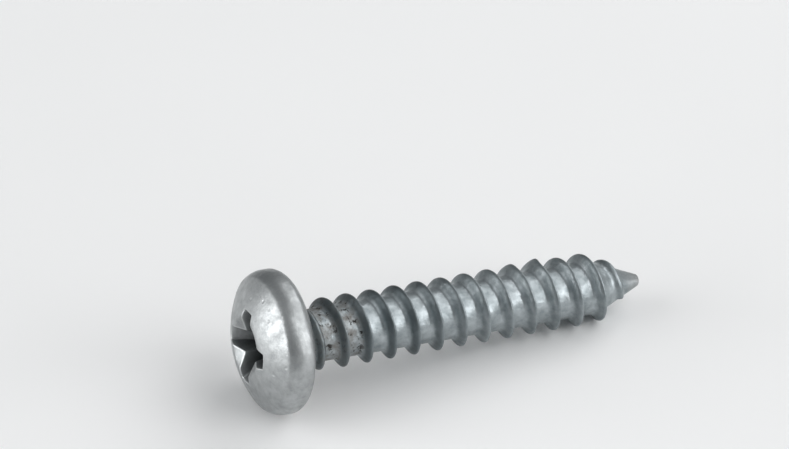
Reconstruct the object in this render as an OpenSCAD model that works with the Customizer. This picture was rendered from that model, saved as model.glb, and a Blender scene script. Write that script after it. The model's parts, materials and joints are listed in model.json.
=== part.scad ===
// Pan head tapping screw for sheet metal, nominal 3.5 x 19 mm, zinc-plated steel.
// One solid: cold-headed pan head with a cross recess, rolled spaced thread, cone point.
// It lies as it comes to rest, on the rim of its head and on a thread crest near its point.
// X runs along the screw toward the point, Z is up, and the origin is under the middle of its box.

/* [Head] */

// Diameter over the rim of the head
head_diameter = 7.14; // [6.9:0.02:7.4]
// Height from the bearing face to the top of the crown
head_height = 2.56; // [2.46:0.02:2.7]
// Height of the soft edge where the side wall turns into the crown
shoulder_height = 1.5; // [1.4:0.02:1.6]
// How far the side wall leans in from the rim to that soft edge
side_in = 0.24; // [0.1:0.02:0.34]
// Rounding radius of that soft edge
shoulder_round = 0.4; // [0.2:0.05:0.5]
// Height above the bearing face at which the side wall is widest
wall_height = 0.8; // [0.7:0.02:0.9]
// Rounding radius of the rim at the bearing face
rim_round = 0.6; // [0.3:0.02:0.66]

/* [Drive recess] */

// Span of the cross over opposite wings, at the crown
recess_span = 3.75; // [3.5:0.05:3.95]
// Span of the wings at the floor of the recess
recess_floor_span = 2; // [1.8:0.05:2.2]
// Depth from the top of the crown to the floor
recess_depth = 1.75; // [1.55:0.05:1.85]
// Depth of the shallow cone in the floor
floor_cone_depth = 0.25; // [0.1:0.05:0.3]
// Width of the wings in the middle of the cross, at the crown
wing_width = 1.5; // [1.4:0.02:1.6]
// Width of the wings in the middle of the cross, at the floor
wing_floor_width = 0.9; // [0.84:0.02:1]
// Angle by which each side of a wing turns in toward the wing's end
wing_flare = 10; // [6:1:13]
// Diameter of the lead-in cone between the wings, at the crown
lead_in_diameter = 2.95; // [2.6:0.05:3.2]
// Slope of the lead-in cone below the flat
lead_in_angle = 27; // [20:1:35]
// Turn of the cross about the screw's axis
recess_roll = 81; // [0:1:89]

/* [Shank and thread] */

// Length from the bearing face to the end of the point
length = 18.95; // [14:0.05:28]
// Diameter over the thread crests
thread_diameter = 3.52; // [3.36:0.02:3.6]
// Diameter of the core between the thread ridges
root_diameter = 2.64; // [2.46:0.02:2.7]
// Axial distance from one crest to the next
pitch = 1.27; // [1.24:0.01:1.5]
// Slope of the flank toward the head, from the plane across the axis
head_flank_angle = 46; // [30:1:47]
// Slope of the flank toward the point, from the plane across the axis
point_flank_angle = 24; // [20:1:28]
// Width of the flat along the crest
crest_width = 0.15; // [0.06:0.01:0.16]
// Axial length of the curve from each flank into the core
root_blend = 0.24; // [0.1:0.02:0.24]
// Distance from the thread crests out to the flat of the bearing face
bearing_clearance = 0.04; // [0.02:0.02:0.2]
// Distance from the bearing face to the crest at the start of the thread
thread_start = 0.35; // [0.31:0.02:0.7]
// Turn of the thread about the screw's axis
thread_roll = 216; // [0:1:359]

/* [Point] */

// Length of the tapered end
point_length = 2.5; // [2.2:0.1:3]
// Diameter at the blunt end of the point
point_end_diameter = 0.66; // [0.5:0.02:0.8]
// Length of the broken edge around the blunt end
point_end_bevel = 0.14; // [0.08:0.02:0.18]
// Least length of the plain cone after the last of the thread
point_plain_length = 1.2; // [1.1:0.05:1.5]
// Height of the thread where it stops, as a share of its full height
last_ridge_share = 0.45; // [0.3:0.05:0.6]

/* [Hidden] */

$fn = 96;

head_r = head_diameter / 2;
root_r = root_diameter / 2;
crest_r = thread_diameter / 2;
ridge_height = crest_r - root_r;

// Side wall: an arc that leaves the straight wall at a tangent and passes through the soft edge.
shoulder_r = head_r - side_in;
side_up = shoulder_height - wall_height;
side_r = (side_in * side_in + side_up * side_up) / (2 * side_in);
side_c = [head_r - side_r, -wall_height];
side_block = max(head_r - side_r, head_r / 2);

// Crown: part of a sphere through the soft edge and the top of the head.
crown_rise = head_height - shoulder_height;
crown_r = (shoulder_r * shoulder_r + crown_rise * crown_rise) / (2 * crown_rise);
crown_c = [0, crown_r - head_height];

// Rounding of the soft edge: a circle inside both arcs that touches each of them.
round_d = norm(side_c - crown_c);
round_a = ((crown_r - shoulder_round) ^ 2 - (side_r - shoulder_round) ^ 2 + round_d ^ 2) / (2 * round_d);
round_h = sqrt((crown_r - shoulder_round) ^ 2 - round_a ^ 2);
round_u = (side_c - crown_c) / round_d;
round_c = crown_c + round_a * round_u + round_h * [-round_u[1], round_u[0]];
round_to_crown = (round_c - crown_c) / norm(round_c - crown_c);
round_to_side = (round_c - side_c) / norm(round_c - side_c);
// A hair over the radius, so that the rounding cuts both arcs cleanly.
round_cut = 1.01 * shoulder_round;

// How far the crown lies below its top at a given radius.
function crown_drop(r) = crown_r - sqrt(crown_r * crown_r - r * r);

// Recess: a cone for the ends of the wings, cut to a cross by two tapered slabs.
mouth_z = crown_drop(recess_span / 2);
wing_slope = (recess_span - recess_floor_span) / 2 / (recess_depth - mouth_z);
above = 0.4;
wing_top_r = recess_floor_span / 2 + (recess_depth + above) * wing_slope;
wing_taper = (wing_width - wing_floor_width) / recess_depth;
wing_top_width = wing_width + above * wing_taper;
lead_in_r = lead_in_diameter / 2;
lead_in_drop = tan(lead_in_angle);
lead_in_z = crown_drop(lead_in_r);
lead_in_depth = lead_in_z + lead_in_r * lead_in_drop;

// Neck: the fillet starts clear of the crests, comes down to just outside the core and ends in a cone.
neck_r = root_r + 0.04;
neck_fillet = crest_r + bearing_clearance - neck_r;

// Thread rows across one ridge: distance along the axis from the crest, and share of the height.
toe_share = 0.2;
flank_height = ridge_height * (1 - toe_share);
head_toe = crest_width / 2 + flank_height * tan(head_flank_angle);
point_toe = crest_width / 2 + flank_height * tan(point_flank_angle);
head_half = head_toe + root_blend;
point_half = point_toe + root_blend;
ROWS = [
    [-head_half, 0],
    [-head_toe, toe_share],
    [-crest_width / 2, 1],
    [crest_width / 2, 1],
    [point_toe, toe_share],
    [point_half, 0]
];
rows = len(ROWS);
cols = 25;
rise_turns = 0.9;
// How far the core runs on inside the head, past the foot of the first ridge.
embed = max(0.2, head_half - thread_start + 0.05);

point_z = length - point_end_bevel;
taper_z = length - point_length;
last = floor((point_z - 0.05 - point_half - thread_start) / pitch) - 1;
end_turn = min((length - point_plain_length - thread_start) / pitch, last + 1 - 1 / cols);
full_turn = (taper_z - thread_start) / pitch;

// Core radius at a distance z from the bearing face.
function core(z) =
    z <= taper_z ? root_r :
    root_r + (point_end_diameter / 2 - root_r) * (z - taper_z) / (point_z - taper_z);

// Share of the full ridge height after a number of turns from the start.
function share(t) =
    t <= 0 ? 0 :
    t > end_turn ? 0 :
    t < rise_turns ? t / rise_turns :
    t <= full_turn ? 1 :
    1 + (last_ridge_share - 1) * (t - full_turn) / (end_turn - full_turn);

// Point on the thread: turn, row across the ridge.
function thread_point(turn, row) =
    let (z = thread_start + pitch * turn + ROWS[row][0])
    let (r = core(z) + ROWS[row][1] * share(turn) * ridge_height)
    [r * cos(360 * turn), r * sin(360 * turn), z];

// One flat ring of points around the axis.
function ring(r, z) = [for (k = [0:cols - 1]) [r * cos(360 * k / cols), r * sin(360 * k / cols), z]];

// Place of a thread point in the list; the seam runs on into the next turn.
function at(turn, row, col) =
    col == cols ? at(turn + 1, row, 0) :
    turn > last ? (last + 1) * rows * cols + row :
    (turn * rows + row) * cols + col;
foot_ring = (last + 1) * rows * cols + rows;
cone_ring = foot_ring + cols;
end_ring = cone_ring + cols;

shank_points = concat(
    [for (n = [0:last], i = [0:rows - 1], k = [0:cols - 1]) thread_point(n + k / cols, i)],
    [for (i = [0:rows - 1]) thread_point(last + 1, i)],
    ring(root_r, -embed),
    ring(point_end_diameter / 2, point_z),
    ring(point_end_diameter / 2 - point_end_bevel, length)
);

// Two triangles for a patch with corners low left, high left, high right, low right.
function patch(a, b, c, d) = [[a, b, c], [a, c, d]];
// A fan of triangles from one corner to a chain of points.
function fan(corner, chain) = [for (i = [0:len(chain) - 2]) [corner, chain[i], chain[i + 1]]];

ridge_faces = [
    for (n = [0:last], i = [0:rows - 2], k = [0:cols - 1])
        each patch(at(n, i, k), at(n, i + 1, k), at(n, i + 1, k + 1), at(n, i, k + 1))
];
gullet_faces = [
    for (n = [0:last - 1], k = [0:cols - 1])
        each patch(at(n, rows - 1, k), at(n + 1, 0, k), at(n + 1, 0, k + 1), at(n, rows - 1, k + 1))
];
foot_faces = concat(
    [for (k = [0:cols - 2]) each patch(foot_ring + k, at(0, 0, k), at(0, 0, k + 1), foot_ring + k + 1)],
    fan(foot_ring + cols - 1, concat(
        [at(0, 0, cols - 1), at(1, 0, 0)],
        [for (i = [rows - 1:-1:0]) at(0, i, 0)],
        [foot_ring]
    )),
    [[for (k = [0:cols - 1]) foot_ring + k]]
);
cone_faces = concat(
    [
        for (k = [1:cols - 1])
            let (next = (k + 1) % cols)
            each patch(at(last, rows - 1, k), cone_ring + k, cone_ring + next, at(last, rows - 1, k + 1))
    ],
    fan(at(last, rows - 1, 1), concat(
        [at(last, rows - 1, 0)],
        [for (i = [0:rows - 1]) at(last + 1, i, 0)],
        [cone_ring, cone_ring + 1]
    ))
);
end_faces = concat(
    [
        for (k = [0:cols - 1])
            let (next = (k + 1) % cols)
            each patch(cone_ring + k, end_ring + k, end_ring + next, cone_ring + next)
    ],
    [[for (k = [cols - 1:-1:0]) end_ring + k]]
);

// Rest: the screw leans down toward the point until a crest meets the floor.
floor_roll = 180 - thread_roll;
first_turn = floor_roll / 360 - floor(floor_roll / 360);
rim_out = head_r - rim_round;
function lean(z, r) =
    let (a = z + rim_round, b = rim_out - r)
    asin(rim_round / norm([a, b])) + atan2(b, a);
lean_angle = min([
    for (t = [first_turn:1:end_turn])
        let (z = thread_start + pitch * t)
        lean(z, core(z) + share(t) * ridge_height)
]);
rest_height = rim_out * cos(lean_angle) - rim_round * sin(lean_angle) + rim_round;
point_x = length * cos(lean_angle) + (point_end_diameter / 2 - point_end_bevel) * sin(lean_angle);
crown_x = (lead_in_z - head_height) * cos(lean_angle) - lead_in_r * sin(lean_angle);

// Half section of the head and its fillet; y is the distance from the bearing face.
module head_section() {
    difference() {
        intersection() {
            translate(crown_c)
                circle(r = crown_r);
            translate([0, -head_height])
                square([head_r, head_height]);
            union() {
                translate(side_c)
                    circle(r = side_r);
                translate([0, -head_height])
                    square([side_block, head_height]);
                translate([0, -wall_height])
                    square([head_r, wall_height]);
            }
        }
        difference() {
            polygon([round_c, round_c + 2 * round_to_crown, round_c + 2 * round_to_side]);
            translate(round_c)
                circle(r = round_cut);
        }
        difference() {
            translate([rim_out, -rim_round])
                square(2 * rim_round);
            translate([rim_out, -rim_round])
                circle(r = rim_round);
        }
    }
    difference() {
        polygon([
            [0, -embed],
            [neck_r + neck_fillet, -embed],
            [neck_r + neck_fillet, neck_fillet],
            [neck_r, neck_fillet],
            [0, neck_fillet + neck_r]
        ]);
        translate([neck_r + neck_fillet, neck_fillet])
            circle(r = neck_fillet);
    }
}

// Slab with two sides of a pair of opposite wings; it narrows toward the floor.
module wing_slab(turn) {
    rotate([90, 0, turn])
        linear_extrude(height = 2 * wing_top_r + 1, center = true)
            polygon([
                [-wing_top_width / 2, -above],
                [wing_top_width / 2, -above],
                [wing_floor_width / 2, recess_depth],
                [-wing_floor_width / 2, recess_depth]
            ]);
}

// One pair of opposite wings: two slabs that cross at a small angle, so each wing narrows to its end.
module wing_pair(turn) {
    intersection() {
        wing_slab(turn + wing_flare);
        wing_slab(turn - wing_flare);
    }
}

// Cross recess; z is the depth below the top of the crown.
module recess() {
    intersection() {
        translate([0, 0, -above])
            cylinder(r1 = wing_top_r, r2 = recess_floor_span / 2, h = recess_depth + above);
        union() {
            wing_pair(0);
            wing_pair(90);
        }
    }
    intersection() {
        translate([0, 0, recess_depth - 0.01])
            cylinder(r1 = wing_floor_width / 2, r2 = 0, h = floor_cone_depth);
        translate([-1, -1, 0])
            cube([2, 2, head_height]);
    }
    translate([0, 0, -above])
        cylinder(r1 = (lead_in_depth + above) / lead_in_drop, r2 = 0, h = lead_in_depth + above);
}

// Core, thread and point in one skin, from inside the head to the blunt end.
module threaded_shank() {
    polyhedron(
        points = shank_points,
        faces = concat(ridge_faces, gullet_faces, foot_faces, cone_faces, end_faces),
        convexity = 8
    );
}

module screw() {
    color([0.74, 0.76, 0.78])
        translate([-(point_x + crown_x) / 2, 0, rest_height])
            rotate([0, 90 + lean_angle, 0])
                rotate([0, 0, 180])
                    union() {
                        difference() {
                            rotate_extrude()
                                head_section();
                            translate([0, 0, -head_height])
                                rotate([0, 0, recess_roll])
                                    recess();
                        }
                        rotate([0, 0, thread_roll])
                            threaded_shank();
                    }
}

screw();
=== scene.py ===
"""Looks of a zinc-plated pan head tapping screw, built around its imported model.

The screw is one mesh: a lofted head with its cross recess, and a helical thread that
runs up to the head and out on the point. All sizes below are millimetres in the screw's own
frame: s runs along the axis from the bearing face to the point, x up, y to the viewer.
"""

import json
import logging
import math
from dataclasses import dataclass, field
from enum import Enum
from typing import Any, Optional, Sequence

import bmesh
import bpy
import numpy as np
from mathutils import Matrix, Vector

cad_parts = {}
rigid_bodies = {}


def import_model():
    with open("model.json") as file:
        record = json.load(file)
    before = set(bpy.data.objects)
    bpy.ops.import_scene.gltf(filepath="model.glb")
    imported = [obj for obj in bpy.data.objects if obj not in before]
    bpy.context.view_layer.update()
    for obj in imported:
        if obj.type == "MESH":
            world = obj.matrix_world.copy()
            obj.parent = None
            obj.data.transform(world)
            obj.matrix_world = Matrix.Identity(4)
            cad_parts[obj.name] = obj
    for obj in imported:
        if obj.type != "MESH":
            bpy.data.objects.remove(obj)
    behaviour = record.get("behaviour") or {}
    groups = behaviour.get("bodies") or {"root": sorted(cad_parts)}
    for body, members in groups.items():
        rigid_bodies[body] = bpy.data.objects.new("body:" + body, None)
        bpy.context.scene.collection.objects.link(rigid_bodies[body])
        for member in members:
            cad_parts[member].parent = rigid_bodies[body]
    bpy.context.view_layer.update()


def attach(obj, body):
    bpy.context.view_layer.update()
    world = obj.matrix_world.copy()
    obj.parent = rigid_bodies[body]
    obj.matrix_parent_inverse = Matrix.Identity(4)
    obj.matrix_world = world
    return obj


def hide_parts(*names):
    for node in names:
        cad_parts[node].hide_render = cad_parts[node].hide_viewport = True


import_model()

LOG = logging.getLogger("screw")
MM = 0.001
# Width and height of the picture in pixels, and width of the camera's sensor in millimetres.
IMAGE = (789, 449)
SENSOR = 36.0
# How far inside the core the skins of the head and the shank meet, in millimetres.
SEAM_IN = 0.06


class Mask(Enum):
    """Names of the values that the mesh carries at each point for its finish."""

    SOIL = "soil"
    THREAD = "thread"
    # Painted shade on the ridges' head-facing flanks and crests.
    RIDGE = "ridge"
    # Painted shade in the cross recess and its lead-in.
    RECESS = "recess"
    # Rubbed edges around the recess mouth, partly painted highlight.
    EDGE = "edge"


def linear(code: str) -> tuple[float, float, float, float]:
    """Turns an sRGB hex colour into linear light.

    Args:
        code: Colour as "#rrggbb".

    Returns:
        Linear red, green and blue, with an alpha of 1.
    """
    parts = [int(code[i:i + 2], 16) / 255 for i in (1, 3, 5)]
    light = [c / 12.92 if c <= 0.04045 else ((c + 0.055) / 1.055) ** 2.4 for c in parts]
    return (light[0], light[1], light[2], 1.0)


def add_node(tree: bpy.types.NodeTree, kind: str, settings: Optional[dict[str, Any]] = None,
             inputs: Optional[dict[Any, Any]] = None) -> bpy.types.Node:
    """Adds one node with its settings and its links.

    Args:
        tree: Node tree that takes the node.
        kind: Blender's name for the kind of node.
        settings: Values for the node's own properties.
        inputs: Socket name or number to a value, or to an output socket that is linked in.

    Returns:
        The new node.
    """
    node = tree.nodes.new(kind)
    for name, value in (settings or {}).items():
        setattr(node, name, value)
    for key, value in (inputs or {}).items():
        if isinstance(value, bpy.types.NodeSocket):
            tree.links.new(value, node.inputs[key])
        else:
            node.inputs[key].default_value = value
    return node


def per_mm(size: float) -> float:
    """Gives the pattern scale whose features are that many millimetres apart."""
    return 1.0 / (size * MM)


@dataclass(frozen=True)
class BrightZinc:
    """Electroplated bright zinc on cold-headed, thread-rolled steel.

    The plating is a cool grey satin: it blurs what it mirrors, is a little cloudy from
    tumbling in the plating barrel, and shows fine pits and small bright rubs on its edges,
    which carry a painted highlight too.
    The rolled thread is a shade greyer and bluer than the head. Its ridges are darkened by painted
    shade, most of all near the head, where grey dirt with dark specks is caught too.
    """

    name: str = "bright_zinc_on_cold_headed_steel"
    cloudy: str = "#9b9e9f"
    clear: str = "#b3b6b7"
    rolled_cloudy: str = "#91999c"
    rolled_clear: str = "#b4bbbe"
    # Painted shade on the ridges.
    ridge_painted_shade: str = "#636b6e"
    # Rubbed edges, partly painted highlight.
    rubbed_and_highlight: str = "#c0c3c3"
    soil: str = "#7d7b78"
    speck: str = "#393735"
    # Painted shade in the cross recess.
    recess_painted_shade: str = "#3b3e40"
    cloud_mm: float = 0.5
    grain_mm: float = 0.1
    pit_mm: float = 0.9
    soil_mm: float = 0.4
    speck_mm: float = 0.3
    smooth: float = 0.36
    dull: float = 0.52
    soil_dull: float = 0.7
    soil_metal: float = 0.55
    # Strengths of the relief, and its depths in millimetres; the clouds are raised more on the thread.
    head_relief: float = 0.15
    thread_relief: float = 0.35
    grain_relief: float = 0.25
    pit_relief: float = 0.3
    cloud_depth: float = 0.05
    grain_depth: float = 0.02
    pit_depth: float = 0.04

    def material(self) -> bpy.types.Material:
        """Makes the finish.

        Returns:
            A material that reads the masks of the screw's mesh.
        """
        mat = bpy.data.materials.new(self.name)
        mat.use_nodes = True
        tree = mat.node_tree
        tree.nodes.clear()
        place = add_node(tree, "ShaderNodeTexCoord").outputs["Object"]
        mask = {m: add_node(tree, "ShaderNodeAttribute", {"attribute_name": m.value}).outputs["Fac"]
                for m in Mask}
        # Cloud: soft patches where the plating is more or less bright.
        # Grain: the satin of the plated surface, drawn coarser than it is so that it shows.
        # Soil and speck: a thin grey film with dark specks, caught in the first turns below the head.
        pattern: dict[str, bpy.types.NodeSocket] = {}
        for name, size, detail, low, high in (("cloud", self.cloud_mm, 4.0, 0.32, 0.68),
                                              ("grain", self.grain_mm, 3.0, 0.2, 0.8),
                                              ("soil", self.soil_mm, 4.0, 0.36, 0.66),
                                              ("speck", self.speck_mm, 4.0, 0.56, 0.63)):
            noise = add_node(tree, "ShaderNodeTexNoise", {"noise_dimensions": "3D"},
                             {"Vector": place, "Scale": per_mm(size), "Detail": detail, "Roughness": 0.62})
            pattern[name] = add_node(tree, "ShaderNodeMapRange", {"clamp": True}, {
                "Value": noise.outputs["Fac"], "From Min": low, "From Max": high}).outputs["Result"]
        for name in ("soil", "speck"):
            pattern[name] = add_node(tree, "ShaderNodeMath", {"operation": "MULTIPLY"},
                                     {0: mask[Mask.SOIL], 1: pattern[name]}).outputs[0]
        # Pit: a few small dents from tumbling.
        cells = add_node(tree, "ShaderNodeTexVoronoi", {"feature": "F1"}, {
            "Vector": place, "Scale": per_mm(self.pit_mm), "Randomness": 1.0}).outputs["Distance"]
        pattern["pit"] = add_node(tree, "ShaderNodeMapRange", {"clamp": True}, {
            "Value": cells, "From Min": 0.05, "From Max": 0.13}).outputs["Result"]
        # Colour: the plating of head and thread, then the painted shade on the ridges, the rubs with their
        # painted highlight, the painted shade in the recess, and the dirt laid over it.
        headed, rolled = (
            add_node(tree, "ShaderNodeMix", {"data_type": "RGBA"}, {
                "Factor": pattern["cloud"], 6: linear(under), 7: linear(over)}).outputs[2]
            for under, over in ((self.cloudy, self.clear), (self.rolled_cloudy, self.rolled_clear)))
        colour = headed
        for factor, over in ((mask[Mask.THREAD], rolled),
                             (mask[Mask.RIDGE], linear(self.ridge_painted_shade)),
                             (mask[Mask.EDGE], linear(self.rubbed_and_highlight)),
                             (mask[Mask.RECESS], linear(self.recess_painted_shade)),
                             (pattern["soil"], linear(self.soil)),
                             (pattern["speck"], linear(self.speck))):
            colour = add_node(tree, "ShaderNodeMix", {"data_type": "RGBA"},
                              {"Factor": factor, 6: colour, 7: over}).outputs[2]
        # The clouds and the soil are duller, and the rolled thread is rougher than the headed crown.
        satin, metal, relief = (
            add_node(tree, "ShaderNodeMapRange", {"clamp": True}, {
                "Value": value, "To Min": low, "To Max": high}).outputs["Result"]
            for value, low, high in ((pattern["cloud"], self.dull, self.smooth),
                                     (pattern["soil"], 1.0, self.soil_metal),
                                     (mask[Mask.THREAD], self.head_relief, self.thread_relief)))
        matt = add_node(tree, "ShaderNodeMix", {"data_type": "FLOAT"},
                        {"Factor": pattern["soil"], 2: satin, 3: self.soil_dull}).outputs[0]
        bump: dict[str, Any] = {}
        for strength, depth, height in ((relief, self.cloud_depth, pattern["cloud"]),
                                        (self.grain_relief, self.grain_depth, pattern["grain"]),
                                        (self.pit_relief, self.pit_depth, pattern["pit"])):
            bump["Normal"] = add_node(tree, "ShaderNodeBump", None, {
                "Strength": strength, "Distance": depth * MM, "Height": height, **bump}).outputs["Normal"]
        shader = add_node(tree, "ShaderNodeBsdfPrincipled", None,
                          {"Base Color": colour, "Metallic": metal, "Roughness": matt, **bump})
        add_node(tree, "ShaderNodeOutputMaterial", None, {"Surface": shader.outputs["BSDF"]})
        return mat


@dataclass
class Skin:
    """A mesh in the making: points with their masks, and faces."""

    points: list[np.ndarray] = field(default_factory=list)
    masks: dict[Mask, list[np.ndarray]] = field(default_factory=lambda: {m: [] for m in Mask})
    faces: list[tuple[int, ...]] = field(default_factory=list)
    count: int = 0

    def add(self, points: np.ndarray, **masks: Any) -> np.ndarray:
        """Adds points.

        Args:
            points: Rows of x, y, s in millimetres.
            **masks: A number or an array for each mask that isn't zero, by its value name.

        Returns:
            The indices of the new points.
        """
        rows = np.asarray(points, float).reshape(-1, 3)
        self.points.append(rows)
        for mask in Mask:
            value = np.broadcast_to(np.asarray(masks.get(mask.value, 0.0), float), (len(rows),))
            self.masks[mask].append(value)
        first = self.count
        self.count += len(rows)
        return np.arange(first, self.count)

    def bridge(self, low: Sequence[int], high: Sequence[int]) -> None:
        """Joins two closed rings with the same number of points by quads.

        Args:
            low: Indices of the first ring.
            high: Indices of the second ring.
        """
        n = len(low)
        for k in range(n):
            j = (k + 1) % n
            self.faces.append((int(low[k]), int(low[j]), int(high[j]), int(high[k])))

    def stitch(self, low: Sequence[int], low_turn: np.ndarray, high: Sequence[int],
               high_turn: np.ndarray) -> None:
        """Joins two closed rings with different numbers of points by triangles.

        Args:
            low: Indices of the first ring, in order of angle.
            low_turn: Their angles in turns, rising from the first.
            high: Indices of the second ring, in order of angle.
            high_turn: Their angles in turns, rising, near those of the first ring.
        """
        i = j = 0
        a, b = len(low), len(high)
        while i < a or j < b:
            next_low = low_turn[(i + 1) % a] + (i + 1) // a
            next_high = high_turn[(j + 1) % b] + (j + 1) // b
            if j >= b or (i < a and next_low <= next_high):
                self.faces.append((int(low[i % a]), int(low[(i + 1) % a]), int(high[j % b])))
                i += 1
            else:
                self.faces.append((int(low[i % a]), int(high[(j + 1) % b]), int(high[j % b])))
                j += 1


def smooth_max(a: np.ndarray, b: np.ndarray, blend: float) -> np.ndarray:
    """Gives the larger of two values with a soft change-over.

    Args:
        a: First values.
        b: Second values.
        blend: How far the change-over is rounded.

    Returns:
        The larger values.
    """
    return 0.5 * (a + b + np.sqrt((a - b) ** 2 + blend * blend))


@dataclass
class Recess:
    """Cross recess for a number 2 driver, pressed into the crown; its wings narrow toward their ends."""

    span: float = 3.75
    floor_span: float = 2.0
    depth: float = 1.75
    floor_cone: float = 0.2
    wing: float = 1.5
    floor_wing: float = 0.9
    flare_deg: float = 10.0
    lead_in: float = 2.95
    lead_in_deg: float = 27.0
    # Rounding where the lead-in meets the crown, and the painted shade in the lead-in, which fades out at its
    # edge.
    lead_in_soft: float = 0.035
    lead_in_painted_shade: float = 0.3
    lead_in_fade: float = 0.2
    roll_deg: float = 81.0
    corner: float = 0.09
    lip: float = 0.06
    corner_points: int = 4
    flank_points: int = 9
    end_points: int = 9
    # Where the loft's rings lie: out over the floor, up the wall, and over the lip.
    floor_rings: tuple[float, ...] = (0.25, 0.55, 0.8, 0.94)
    wall_rings: tuple[float, ...] = (0.02, 0.12, 0.3, 0.5, 0.7, 0.85)
    lip_rings: tuple[float, ...] = (0.0, 0.25, 0.5, 0.75, 1.0)

    def columns(self) -> tuple[np.ndarray, np.ndarray, np.ndarray]:
        """Lays out the columns of one wing, from one inner corner around the end to the next.

        Returns:
            For each column its part (0 corner, 1 flank, 2 end), its place along that part,
            and the side of the wing that it is on.
        """
        bend = np.linspace(0, 1, self.corner_points, endpoint=False)
        run = np.linspace(0, 1, self.flank_points, endpoint=False)
        part = np.concatenate([np.zeros(len(bend)), np.ones(len(run))])
        along = np.concatenate([bend, run])
        sweep = np.linspace(-1, 1, self.end_points)
        side = np.ones(len(along))
        return (np.concatenate([part, np.full(len(sweep), 2.0), part[:0:-1]]),
                np.concatenate([along, sweep, along[:0:-1]]),
                np.concatenate([side, np.ones(len(sweep)), -side[:0:-1]]))

    def outline(self, half: np.ndarray, end: np.ndarray) -> np.ndarray:
        """Draws the cross at some level.

        Args:
            half: Half the width of a wing in the middle of the cross, one number or one for each column.
            end: Radius at the wings' ends, one number or one for each column.

        Returns:
            Points x, y around the cross, counter-clockwise, one row for each column of the loft.
        """
        part, along, side = (np.tile(row, 4) for row in self.columns())
        half = np.broadcast_to(np.asarray(half, float), part.shape)
        end = np.broadcast_to(np.asarray(end, float), part.shape)
        flare = math.radians(self.flare_deg)
        t = math.tan(flare)
        middle = (half + self.corner / math.cos(flare)) / (1 + t)
        bend = np.radians(135 - along * (45 - self.flare_deg))
        reach = (half * t + np.sqrt(np.maximum((1 + t * t) * end ** 2 - half ** 2, 1e-9))) / (1 + t * t)
        start = middle - self.corner * math.sin(flare)
        run = start + along * (reach - start)
        sweep = along * np.arctan2(half - reach * t, reach)
        p = np.select([part == 0, part == 1], [middle + self.corner * np.cos(bend), run], end * np.cos(sweep))
        q = np.select([part == 0, part == 1], [self.corner * np.sin(bend) - middle, run * t - half],
                      end * np.sin(sweep)) * side
        angle = np.radians(self.roll_deg + 90 * np.repeat(np.arange(4), len(part) // 4))
        return np.stack([p * np.cos(angle) - q * np.sin(angle), p * np.sin(angle) + q * np.cos(angle)], 1)

    def level(self, z: np.ndarray, mouth: float, grow: float = 0.0) -> np.ndarray:
        """Draws the cross at a depth.

        Args:
            z: Depth below the top of the crown, one number or one for each column.
            mouth: Depth at which the wings have their full span.
            grow: How far the outline is moved outward.

        Returns:
            Points x, y around the cross.
        """
        up = self.depth - np.asarray(z, float)
        end = self.floor_span / 2 + up * (self.span - self.floor_span) / 2 / (self.depth - mouth) + grow
        wing = self.floor_wing + up * (self.wing - self.floor_wing) / self.depth
        return self.outline(wing / 2 / math.cos(math.radians(self.flare_deg)) + grow, end)


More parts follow.
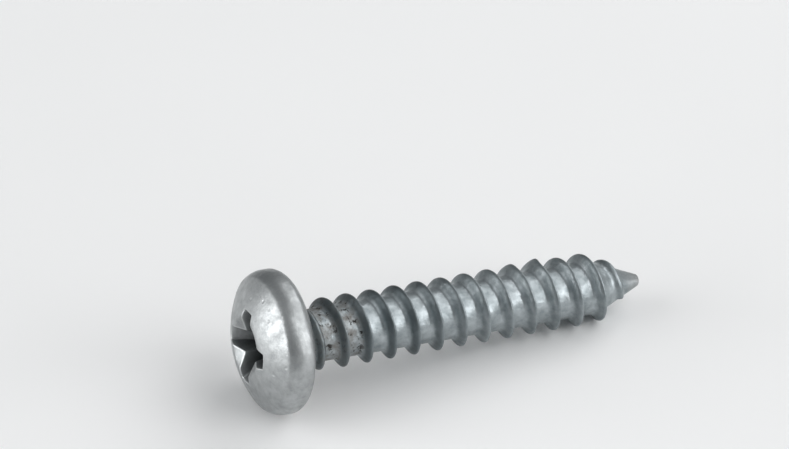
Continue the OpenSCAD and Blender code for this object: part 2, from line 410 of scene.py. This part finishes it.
@dataclass
class Head:
    """Cold-headed pan head: crown, soft shoulder, curved side, rounded rim, flat bearing face."""

    diameter: float = 7.14
    height: float = 2.56
    shoulder_height: float = 1.5
    side_in: float = 0.24
    shoulder_round: float = 0.4
    wall_height: float = 0.8
    rim_round: float = 0.6
    neck_fillet: float = 0.44
    # How far the neck stands over the core, and how far past its fillet it sinks into the core.
    neck_over: float = 0.04
    neck_past: float = 0.1
    # Radius from which the crown's rings are round, and the number of rings between it and the recess.
    round_from: float = 2.3
    crown_rings: int = 20
    # Under the head the dirt fades out toward this radius.
    soil_out: float = 2.5
    soil_fade: float = 0.6
    recess: Recess = field(default_factory=Recess)

    @property
    def radius(self) -> float:
        """Radius over the rim."""
        return self.diameter / 2

    @property
    def crown_radius(self) -> float:
        """Radius of the crown's sphere."""
        rise = self.height - self.shoulder_height
        return ((self.radius - self.side_in) ** 2 + rise * rise) / (2 * rise)

    def crown_drop(self, r: np.ndarray) -> np.ndarray:
        """Gives the depth of the crown below its top at a radius."""
        return self.crown_radius - np.sqrt(self.crown_radius ** 2 - np.asarray(r, float) ** 2)

    def top(self, r: np.ndarray) -> np.ndarray:
        """Gives the depth of the crown, or of the lead-in cone where that is deeper.

        Args:
            r: Distances from the axis.

        Returns:
            Depths below the top of the crown.
        """
        lead = self.recess.lead_in / 2
        slope = math.tan(math.radians(self.recess.lead_in_deg))
        cone = self.crown_drop(lead) + (lead - np.asarray(r, float)) * slope
        return smooth_max(self.crown_drop(r), cone, self.recess.lead_in_soft)

    def section(self, core: float) -> list[tuple[float, float]]:
        """Draws the half section outside the recess.

        Args:
            core: Radius that the fillet comes down to.

        Returns:
            Pairs of radius and distance from the bearing face, from the crown to just inside the core.
        """
        side_up = self.shoulder_height - self.wall_height
        side_r = (self.side_in ** 2 + side_up ** 2) / (2 * self.side_in)
        # Distances along the axis count from the bearing face here, with the crown at minus.
        side_c = np.array([self.radius - side_r, -self.wall_height])
        crown_c = np.array([0.0, self.crown_radius - self.height])
        # The shoulder's arc touches the circles of the crown and of the side from inside.
        gap = np.linalg.norm(side_c - crown_c)
        from_crown = self.crown_radius - self.shoulder_round
        along = (from_crown ** 2 - (side_r - self.shoulder_round) ** 2 + gap ** 2) / (2 * gap)
        off = math.sqrt(from_crown ** 2 - along * along)
        toward = (side_c - crown_c) / gap
        centre = crown_c + along * toward + off * np.array([-toward[1], toward[0]])

        def arc(c: np.ndarray, r: float, start: float, stop: float, n: int) -> list[tuple[float, float]]:
            """Gives points on a circle between two angles."""
            return [(c[0] + r * math.cos(t), c[1] + r * math.sin(t)) for t in np.linspace(start, stop, n)]

        to_crown = math.atan2(*(centre - crown_c)[::-1])
        to_side = math.atan2(*(centre - side_c)[::-1])
        start = math.atan2(-math.sqrt(self.crown_radius ** 2 - self.round_from ** 2), self.round_from)
        rim_c = np.array([self.radius - self.rim_round, -self.rim_round])
        foot_c = np.array([core + self.neck_over + self.neck_fillet, self.neck_fillet])
        path = arc(crown_c, self.crown_radius, start, to_crown, 9)
        path += arc(centre, self.shoulder_round, to_crown, to_side, 7)[1:]
        path += arc(side_c, side_r, to_side, 0.0, 11)[1:]
        path += arc(rim_c, self.rim_round, 0.0, math.pi / 2, 12)[1:]
        path += [(r, 0.0) for r in np.linspace(rim_c[0], foot_c[0], 5)[1:]]
        path += arc(foot_c, self.neck_fillet, -math.pi / 2, -math.pi, 8)[1:]
        path += [(core - SEAM_IN, self.neck_fillet + self.neck_past)]
        return path

    def build(self, skin: Skin, core: float) -> tuple[np.ndarray, np.ndarray]:
        """Lofts the head from the middle of the recess to the fillet at the core.

        Args:
            skin: Mesh that takes the head.
            core: Radius of the shank's core.

        Returns:
            Indices of the last ring, and the angles of its points in turns.
        """
        rec = self.recess
        mouth = float(self.crown_drop(rec.span / 2))
        base = -self.height

        def ring(xy: np.ndarray, z: np.ndarray, **masks: Any) -> np.ndarray:
            """Adds one ring at a depth below the top of the crown."""
            depth = np.broadcast_to(np.asarray(z, float), (len(xy),))
            return skin.add(np.column_stack([xy, base + depth]), **masks)

        # Depth of the mouth's edge for each column, found by stepping to the surface.
        edge = np.full(len(rec.level(0.0, mouth)), 0.5)
        for _ in range(40):
            edge = self.top(np.linalg.norm(rec.level(edge, mouth), axis=1))
        floor = rec.level(rec.depth, mouth)
        centre = skin.add(np.array([[0.0, 0.0, base + rec.depth + rec.floor_cone]]), recess=1.0)
        rings: list[np.ndarray] = []
        # The floor of the recess takes full painted shade, which thins out up its walls.
        for t in rec.floor_rings:
            rings.append(ring(floor * t, rec.depth + rec.floor_cone * (1 - t) ** 1.3, recess=1.0))
        first = rings[0]
        for k in range(len(first)):
            skin.faces.append((int(centre[0]), int(first[k]), int(first[(k + 1) % len(first)])))
        for t in rec.wall_rings:
            z = rec.depth + (edge + rec.lip - rec.depth) * t
            rings.append(ring(rec.level(z, mouth), z, recess=1.0 - 0.75 * t))
        # The lip is rolled over from the wall to the crown by a short curve, rubbed bright on its top, where a
        # painted highlight is laid too; the recess's painted shade thins out over it.
        wall, wall_z = rec.level(edge + rec.lip, mouth), edge + rec.lip
        brim = rec.level(edge, mouth, rec.lip)
        brim_z = self.top(np.linalg.norm(brim, axis=1))
        corner = rec.level(edge, mouth)
        for t in rec.lip_rings:
            xy = (1 - t) ** 2 * wall + 2 * t * (1 - t) * corner + t * t * brim
            z = (1 - t) ** 2 * wall_z + 2 * t * (1 - t) * edge + t * t * brim_z
            rings.append(ring(xy, z, edge=1.0 - abs(2 * t - 1.1) * 0.8, recess=0.2 * (1 - t)))
        # The columns start at an inner corner, an eighth of a turn before a wing.
        section = self.section(core)
        count = len(brim)
        turn = np.arange(count) / count + rec.roll_deg / 360 - 1 / 8
        own = np.unwrap(np.arctan2(brim[:, 1], brim[:, 0])) / (2 * math.pi)
        turn += round(float(own[0] - turn[0]))
        circle = np.column_stack([np.cos(2 * math.pi * turn), np.sin(2 * math.pi * turn)])
        goal = section[0][0] * circle
        for t in np.linspace(0, 1, self.crown_rings + 2)[1:-1]:
            xy = (1 - t) * brim + t * goal
            r = np.linalg.norm(xy, axis=1)
            # The lead-in cone takes painted shade that fades out toward its edge, and the rings by the mouth a
            # little painted highlight.
            painted_shade = rec.lead_in_painted_shade * np.clip((rec.lead_in / 2 - r) / rec.lead_in_fade, 0, 1)
            rings.append(ring(xy, self.top(r), edge=0.25 * max(0.0, 1 - 6 * t), recess=painted_shade))
        for r, s in section:
            soil = float(np.clip((self.soil_out - r) / self.soil_fade, 0, 1)) if s >= 0 else 0.0
            rings.append(ring(circle * r, self.height + s, soil=soil))
        for low, high in zip(rings[:-1], rings[1:]):
            skin.bridge(low, high)
        return rings[-1], turn


@dataclass
class Shank:
    """Rolled right-hand spaced thread on a plain core, with a tapered point."""

    length: float = 18.95
    thread_diameter: float = 3.52
    root_diameter: float = 2.64
    pitch: float = 1.27
    # How far a ridge runs from its crest to its foot, toward the head and toward the point.
    head_run: float = 0.5
    point_run: float = 0.24
    start: float = 0.35
    roll_deg: float = 216.0
    rise_turns: float = 0.9
    embed: float = 0.38
    point_length: float = 2.5
    point_end: float = 0.66
    point_bevel: float = 0.14
    plain: float = 1.2
    last_share: float = 0.45
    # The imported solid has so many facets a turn; its thread stops one facet before the end of its last turn.
    solid_facets: int = 25
    end_margin: float = 0.05
    # Knocked crests: their places along the axis and heights, their turn, and how wide and long they are.
    bruises: tuple[tuple[float, float], ...] = ((12.13, 0.07), (13.4, 0.14))
    bruise_turn: float = -0.085
    bruise_wide: float = 0.045
    bruise_long: float = 0.3
    # Dirt fills the gullets up to here, and lies thinner on what stands over the foot of a ridge.
    soil_to: float = 3.55
    soil_fade: float = 0.3
    soil_foot: float = 0.3
    ridge_soil: float = 0.35
    side_points: int = 14
    columns: int = 96

    @property
    def root(self) -> float:
        """Radius of the core."""
        return self.root_diameter / 2

    @property
    def ridge(self) -> float:
        """Height of the thread over the core."""
        return (self.thread_diameter - self.root_diameter) / 2

    def rows(self) -> list[tuple[float, float]]:
        """Draws the section of one ridge: rounded, long toward the head and steep toward the point.

        Returns:
            Pairs of distance along the axis from the crest and share of the ridge's height.
        """
        def side(run: float) -> list[tuple[float, float]]:
            """Draws one side from the crest down, round at the crest and at the foot."""
            out = np.linspace(0, run, self.side_points)
            return list(zip(out.tolist(), (0.5 + 0.5 * np.cos(math.pi * out / run)).tolist()))

        return [(-d, f) for d, f in side(self.head_run)[:0:-1]] + side(self.point_run)

    def core(self, s: np.ndarray) -> np.ndarray:
        """Gives the core's radius.

        Args:
            s: Distances from the bearing face.

        Returns:
            Radii, which fall along the point.
        """
        taper = self.length - self.point_length
        end = self.length - self.point_bevel
        t = np.clip((np.asarray(s, float) - taper) / (end - taper), 0, 1)
        return self.root + (self.point_end / 2 - self.root) * t

    def turns(self) -> tuple[int, float, float]:
        """Counts the turns of the thread.

        Returns:
            The number of the last turn, and the turns after which the thread ends and begins to taper.
        """
        foot = self.rows()[-1][0]
        room = self.length - self.point_bevel - self.end_margin - foot - self.start
        last = math.floor(room / self.pitch) - 1
        end = min((self.length - self.plain - self.start) / self.pitch, last + 1 - 1 / self.solid_facets)
        return last, end, (self.length - self.point_length - self.start) / self.pitch

    def share(self, t: np.ndarray) -> np.ndarray:
        """Gives the thread's height.

        Args:
            t: Turns from the start of the thread.

        Returns:
            Shares of the full height.
        """
        _, end, full = self.turns()
        t = np.asarray(t, float)
        rise = np.clip(t / self.rise_turns, 0, 1)
        fall = 1 + (self.last_share - 1) * np.clip((t - full) / (end - full), 0, 1)
        return np.where((t > 0) & (t <= end), rise * fall, 0.0)

    def bruise(self, s: np.ndarray, turn: np.ndarray) -> np.ndarray:
        """Gives how far two knocked crests stand up, on the upper side toward the point.

        Args:
            s: Distances from the bearing face.
            turn: Angles in turns.

        Returns:
            Heights over the plain crest.
        """
        across = ((turn - self.bruise_turn + 0.5) % 1 - 0.5) / self.bruise_wide
        return sum(high * np.exp(-((s - place) / self.bruise_long) ** 2 - across ** 2)
                   for place, high in self.bruises)

    def wobble(self, turn: np.ndarray) -> np.ndarray:
        """Gives the small unevenness of a rolled ridge, as a factor on its height."""
        slow = 0.012 * np.sin(2 * math.pi * 2.3 * turn + 1.0)
        return 1 + slow + 0.008 * np.sin(2 * math.pi * 5.1 * turn)

    def painted_shade(self, d: float, s: np.ndarray) -> np.ndarray:
        """Gives the strength of the painted shade on a ridge, full on its head side and near the head.

        Args:
            d: Distance along the axis from the crest, minus toward the head.
            s: Distances from the bearing face.

        Returns:
            Strengths from 0 to 1.
        """
        # Across a ridge it runs from the lower flank over the crest, and along the screw it thins out.
        across = np.interp(d, (-0.38, -0.26, -0.1, 0.08), (0, 1, 1, 0.2))
        return across * np.interp(s, (6, 10), (1.0, 0.45))

    def build(self, skin: Skin, ring: np.ndarray, ring_turn: np.ndarray) -> None:
        """Builds core, thread and point, from inside the head to the blunt end.

        Args:
            skin: Mesh that takes the shank.
            ring: Last ring of the head's fillet, just inside the core.
            ring_turn: Angles of that ring's points in turns.
        """
        rows = self.rows()
        m, n = len(rows), self.columns
        last, _, _ = self.turns()
        roll = self.roll_deg / 360

        def points(turn: np.ndarray, row: int) -> dict[str, Any]:
            """Places the points of one row.

            Args:
                turn: Turns from the start of the thread.
                row: Number of the row across the ridge.

            Returns:
                The points and their masks, as Skin.add takes them.
            """
            d, f = rows[row]
            s = self.start + self.pitch * turn + d
            share = self.share(turn)
            angle = turn + roll
            lift = self.bruise(s, angle) * f
            r = self.core(s) + f * share * self.ridge * self.wobble(turn) + lift
            x, y = r * np.cos(2 * math.pi * angle), r * np.sin(2 * math.pi * angle)
            caught = 1.0 if f < self.soil_foot else self.ridge_soil
            # The ridge mask lays painted shade over the head-facing flank and crest, strongest near the head.
            return {"points": np.column_stack([x, y, s + lift]),
                    "soil": np.clip((self.soil_to - s) / self.soil_fade, 0, 1) * caught,
                    "thread": 1.0,
                    "ridge": np.minimum(1, 4 * share) * self.painted_shade(d, s)}

        grid: dict[tuple[int, int], np.ndarray] = {}
        for turn in range(last + 1):
            for row in range(m):
                grid[turn, row] = skin.add(**points(turn + np.arange(n) / n, row))
        for row in range(m):
            grid[last + 1, row] = skin.add(**points(np.array([last + 1.0]), row))

        def at(turn: int, row: int, col: int) -> int:
            """Finds a point; the seam runs on into the next turn."""
            return at(turn + 1, row, 0) if col == n else int(grid[turn, row][col])

        chain = [(t, r) for t in range(last + 1) for r in range(m)]
        for (t0, r0), (t1, r1) in zip(chain[:-1], chain[1:]):
            for k in range(n):
                skin.faces.append((at(t0, r0, k), at(t0, r0, k + 1), at(t1, r1, k + 1), at(t1, r1, k)))
        turn = np.arange(n) / n + roll
        circle = np.column_stack([np.cos(2 * math.pi * turn), np.sin(2 * math.pi * turn)])

        def flat(r: float, s: float) -> np.ndarray:
            """Adds a flat ring."""
            return skin.add(np.column_stack([circle * r, np.full(n, s)]))

        # Inside the head the skin turns back on itself, so that it stays one closed surface.
        inner = flat(self.root - SEAM_IN, -self.embed)
        base = flat(self.root, -self.embed)
        shift = turn + round(float(ring_turn[0] - turn[0]))
        first = int(np.argmin(np.abs(((shift - ring_turn[0]) + 0.5) % 1 - 0.5)))
        order = (np.arange(n) + first) % n
        high_turn = shift[order] + (np.arange(n) + first) // n
        high_turn = high_turn + round(float(ring_turn[0] - high_turn[0]))
        skin.stitch(ring, ring_turn, inner[order], high_turn)
        skin.bridge(inner, base)
        for k in range(n - 1):
            skin.faces.append((int(base[k]), int(base[k + 1]), at(0, 0, k + 1), at(0, 0, k)))
        # The seam column of the first turn closes the step that a helix leaves.
        step = [at(0, 0, n - 1), at(1, 0, 0), *(at(0, r, 0) for r in range(m - 1, -1, -1)), int(base[0])]
        for a, b in zip(step[:-1], step[1:]):
            skin.faces.append((int(base[n - 1]), b, a))
        # The blunt end is rounded over: steps inward and onward, as shares of the bevel.
        end = self.point_end / 2
        tip = self.length - self.point_bevel
        cone = [flat(end - a * self.point_bevel, tip + b * self.point_bevel)
                for a, b in ((0, 0), (0.2, 0.5), (0.6, 0.88), (1.3, 1))]
        for k in range(1, n):
            j = (k + 1) % n
            skin.faces.append((at(last, m - 1, k), at(last, m - 1, k + 1), int(cone[0][j]), int(cone[0][k])))
        step = [at(last, m - 1, 0), *(at(last + 1, r, 0) for r in range(m)), int(cone[0][0]), int(cone[0][1])]
        for a, b in zip(step[:-1], step[1:]):
            skin.faces.append((at(last, m - 1, 1), b, a))
        for a, b in zip(cone[:-1], cone[1:]):
            skin.bridge(a, b)
        top = skin.add(np.array([[0.0, 0.0, self.length]]))
        for k in range(n):
            skin.faces.append((int(cone[-1][k]), int(cone[-1][(k + 1) % n]), int(top[0])))


@dataclass
class Screw:
    """The whole screw, lying on the rim of its head and on a crest near its point."""

    head: Head = field(default_factory=Head)
    shank: Shank = field(default_factory=Shank)
    finish: BrightZinc = field(default_factory=BrightZinc)

    def lean(self) -> float:
        """Works out how far the screw leans down toward its point.

        Returns:
            The angle in radians at which the first of its crests meets the floor.
        """
        out = self.head.radius - self.head.rim_round
        _, end, _ = self.shank.turns()
        floor = (180 - self.shank.roll_deg) / 360
        turn = floor - math.floor(floor)
        best = math.inf
        while turn <= end:
            s = self.shank.start + self.shank.pitch * turn
            r = float(self.shank.core(s) + self.shank.share(turn) * self.shank.ridge)
            a, b = s + self.head.rim_round, out - r
            best = min(best, math.asin(self.head.rim_round / math.hypot(a, b)) + math.atan2(b, a))
            turn += 1
        return best

    def pose(self) -> Matrix:
        """Gives the place of the screw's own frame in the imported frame.

        Returns:
            A matrix from the screw's x, y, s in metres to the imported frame.
        """
        lean = self.lean()
        c, s = math.cos(lean), math.sin(lean)
        out = self.head.radius - self.head.rim_round
        rest = out * c - self.head.rim_round * s + self.head.rim_round
        lead = self.head.recess.lead_in / 2
        point_x = self.shank.length * c + (self.shank.point_end / 2 - self.shank.point_bevel) * s
        crown_x = (float(self.head.crown_drop(lead)) - self.head.height) * c - lead * s
        return Matrix(((s, 0, c, -(point_x + crown_x) / 2 * MM),
                       (0, -1, 0, 0),
                       (c, 0, -s, rest * MM),
                       (0, 0, 0, 1)))

    def build(self) -> bpy.types.Object:
        """Builds and dresses the screw.

        Returns:
            The screw's object, riding on the part and standing for its solid.
        """
        skin = Skin()
        ring, turn = self.head.build(skin, self.shank.root)
        self.shank.build(skin, ring, turn)
        local = np.concatenate(skin.points) * MM
        place = np.array(self.pose())
        world = local @ place[:3, :3].T + place[:3, 3]
        mesh = bpy.data.meshes.new("screw_skin")
        mesh.from_pydata(world.tolist(), [], skin.faces)
        for mask in Mask:
            values = np.clip(np.concatenate(skin.masks[mask]), 0, 1).astype(np.float32)
            mesh.attributes.new(mask.value, "FLOAT", "POINT").data.foreach_set("value", values)
        work = bmesh.new()
        work.from_mesh(mesh)
        bmesh.ops.recalc_face_normals(work, faces=work.faces)
        open_edges = sum(1 for e in work.edges if not e.is_manifold)
        work.to_mesh(mesh)
        work.free()
        mesh.shade_smooth()
        mesh.materials.append(self.finish.material())
        piece = bpy.data.objects.new("screw_body", mesh)
        bpy.context.scene.collection.objects.link(piece)
        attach(piece, "root")
        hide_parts("screw")
        LOG.info("screw_body: %d points, %d faces, %d open edges",
                 len(mesh.vertices), len(mesh.polygons), open_edges)
        return piece


@dataclass(frozen=True)
class PalePaper:
    """Matt white paper under the screw: it scatters light evenly and shows soft shadows."""

    name: str = "matt_white_paper"
    sheet: str = "#f8f8f8"
    fibre: str = "#f1f1f1"
    mottle_mm: float = 30.0
    matt: float = 0.9

    def material(self) -> bpy.types.Material:
        """Makes the paper.

        Returns:
            A material for the floor.
        """
        mat = bpy.data.materials.new(self.name)
        mat.use_nodes = True
        tree = mat.node_tree
        tree.nodes.clear()
        place = add_node(tree, "ShaderNodeTexCoord").outputs["Object"]
        mottle = add_node(tree, "ShaderNodeTexNoise", None,
                          {"Vector": place, "Scale": per_mm(self.mottle_mm), "Detail": 2.0}).outputs["Fac"]
        colour = add_node(tree, "ShaderNodeMix", {"data_type": "RGBA"},
                          {"Factor": mottle, 6: linear(self.fibre), 7: linear(self.sheet)}).outputs[2]
        shader = add_node(tree, "ShaderNodeBsdfPrincipled", None,
                          {"Base Color": colour, "Roughness": self.matt})
        add_node(tree, "ShaderNodeOutputMaterial", None, {"Surface": shader.outputs["BSDF"]})
        return mat


@dataclass(frozen=True)
class Softbox:
    """A soft white lamp: its place and size in metres, and its power in watts."""

    name: str
    place: tuple[float, float, float]
    size: tuple[float, float]
    power: float

    def hang(self) -> bpy.types.Object:
        """Hangs the lamp, aimed at the screw.

        Returns:
            The lamp's object.
        """
        data = bpy.data.lights.new(self.name, "AREA")
        data.shape = "RECTANGLE"
        data.size, data.size_y = self.size
        data.energy = self.power
        lamp = bpy.data.objects.new(self.name, data)
        lamp.location = self.place
        lamp.rotation_euler = (-Vector(self.place)).to_track_quat("-Z", "Y").to_euler()
        bpy.context.scene.collection.objects.link(lamp)
        return lamp


@dataclass
class Studio:
    """Pale floor, soft lamps and the camera at the photograph's viewing angle.

    The camera is given by its focal length, its distance from the middle of the bearing face, where
    that lies in the picture, and how far the screw's axis runs to the right and up in it.
    """

    screw: Screw
    focal_px: float = 7081.0
    distance_mm: float = 343.37
    head_px: tuple[float, float] = (288.94, 339.47)
    axis_right: float = 0.90399
    axis_up: float = 0.14961
    # Side of the floor in metres.
    floor_size: float = 2.4
    lamps: tuple[Softbox, ...] = (
        Softbox("front_softbox", (0.197, -0.271, 0.372), (0.34, 0.4), 0.95),
        Softbox("low_front_softbox", (0.347, -0.335, 0.129), (0.36, 0.2), 0.79),
        Softbox("right_softbox", (0.338, 0.123, 0.347), (0.46, 0.3), 0.8),
        Softbox("left_softbox", (-0.416, 0.119, 0.250), (0.36, 0.34), 0.65),
        Softbox("low_left_softbox", (-0.488, 0.069, 0.087), (0.44, 0.17), 1.1))
    room_low: str = "#8d9294"
    room_high: str = "#d3d6d8"
    room_level: float = 0.42
    paper: PalePaper = field(default_factory=PalePaper)

    def floor(self) -> bpy.types.Object:
        """Lays the floor.

        Returns:
            The floor's object.
        """
        bpy.ops.mesh.primitive_grid_add(size=self.floor_size, x_subdivisions=8, y_subdivisions=8)
        sheet = bpy.context.object
        sheet.name = "floor"
        sheet.data.materials.append(self.paper.material())
        return sheet

    def light(self) -> None:
        """Hangs the lamps and sets the dim room around them."""
        for box in self.lamps:
            box.hang()
        world = bpy.data.worlds.new("room")
        world.use_nodes = True
        tree = world.node_tree
        tree.nodes.clear()
        up = add_node(tree, "ShaderNodeSeparateXYZ", None,
                      {0: add_node(tree, "ShaderNodeTexCoord").outputs["Generated"]}).outputs["Z"]
        height = add_node(tree, "ShaderNodeMapRange", {"clamp": True, "interpolation_type": "SMOOTHSTEP"},
                          {"Value": up, "From Min": 0.05, "From Max": 0.75}).outputs["Result"]
        tone = add_node(tree, "ShaderNodeMix", {"data_type": "RGBA"},
                        {"Factor": height, 6: linear(self.room_low), 7: linear(self.room_high)}).outputs[2]
        back = add_node(tree, "ShaderNodeBackground", None, {"Color": tone, "Strength": self.room_level})
        add_node(tree, "ShaderNodeOutputWorld", None, {"Surface": back.outputs["Background"]})
        bpy.context.scene.world = world
        LOG.info("lamps: %d", len(self.lamps))

    def camera(self) -> bpy.types.Object:
        """Sets the camera so that the screw lies in the picture as photographed.

        Returns:
            The camera's object.
        """
        lean = self.screw.lean()
        across = math.acos(self.axis_right / math.cos(lean))
        ahead = math.cos(lean) * math.sin(across)
        tip = math.atan2(math.sin(lean), ahead)
        look = math.asin(self.axis_up / math.hypot(ahead, math.sin(lean))) + tip
        flat = Vector((math.sin(across), math.cos(across), 0))
        right = Vector((math.cos(across), -math.sin(across), 0))
        forward = flat * math.cos(look) - Vector((0, 0, 1)) * math.sin(look)
        up = right.cross(forward)
        u = (self.head_px[0] - IMAGE[0] / 2) / self.focal_px
        v = (self.head_px[1] - IMAGE[1] / 2) / self.focal_px
        bearing = self.screw.pose().translation
        place = bearing - (right * u - up * v + forward) * (self.distance_mm * MM)
        data = bpy.data.cameras.new("camera")
        data.sensor_fit = "HORIZONTAL"
        data.sensor_width = SENSOR
        data.lens = SENSOR * self.focal_px / IMAGE[0]
        data.clip_start, data.clip_end = 0.005, 10.0
        camera = bpy.data.objects.new("camera", data)
        camera.matrix_world = Matrix((
            (right.x, up.x, -forward.x, place.x),
            (right.y, up.y, -forward.y, place.y),
            (right.z, up.z, -forward.z, place.z),
            (0, 0, 0, 1)))
        bpy.context.scene.collection.objects.link(camera)
        bpy.context.scene.camera = camera
        LOG.info("camera: looks down %.1f degrees, %.0f mm lens", math.degrees(look), data.lens)
        return camera

    def build(self) -> None:
        """Sets up floor, lamps and camera."""
        self.floor()
        self.light()
        self.camera()


def main() -> None:
    """Builds the screw and the studio around it."""
    logging.basicConfig(level=logging.INFO, format="%(name)s: %(message)s")
    bpy.context.scene.view_settings.view_transform = "Standard"
    screw = Screw()
    screw.build()
    Studio(screw).build()


if __name__ == "__main__":
    main()
